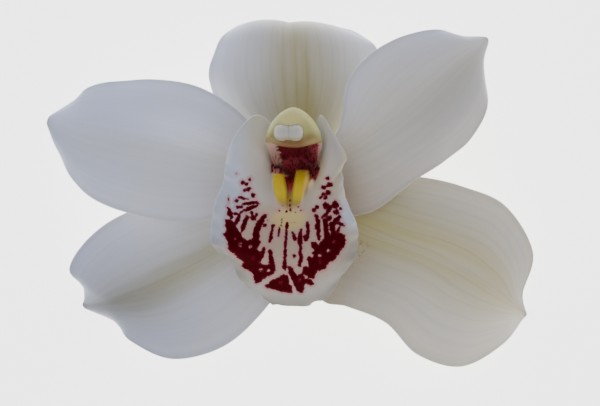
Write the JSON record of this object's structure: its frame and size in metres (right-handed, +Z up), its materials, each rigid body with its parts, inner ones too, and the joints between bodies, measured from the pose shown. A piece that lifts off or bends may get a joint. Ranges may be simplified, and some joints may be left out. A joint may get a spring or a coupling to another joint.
{
  "type": "cymbidium orchid bloom",
  "caption": "Cut cymbidium orchid bloom lying face up, with petals and sepals spread round a spotted lip and a hooded column.",
  "frame": {"origin": "middle of the bloom's outline seen from above, on the surface it lies on", "axes": "+X towards the bloom's right as its face is looked at, +Y towards the dorsal sepal, +Z up, out of the bloom's face"},
  "size_m": [0.1224, 0.0884, 0.0453],
  "materials": {
    "sepal": "waxy, slightly translucent, white with an olive midrib",
    "petal": "waxy, slightly translucent white",
    "lip": "velvety white, blotched dark red, with yellow keels",
    "column": "waxy cream, dark red on its underside",
    "anther_cap": "smooth waxy white",
    "pollen": "waxy yellow",
    "stalk": "smooth fleshy green"
  },
  "bodies": {
    "root": {"dorsal_sepal": "sepal", "left_lateral_sepal": "sepal", "right_lateral_sepal": "sepal", "left_petal": "petal", "right_petal": "petal", "lip": "lip", "column": "column", "anther_cap": "anther_cap", "pollinarium": "pollen", "ovary_and_stalk": "stalk"}
  },
  "joints": []
}
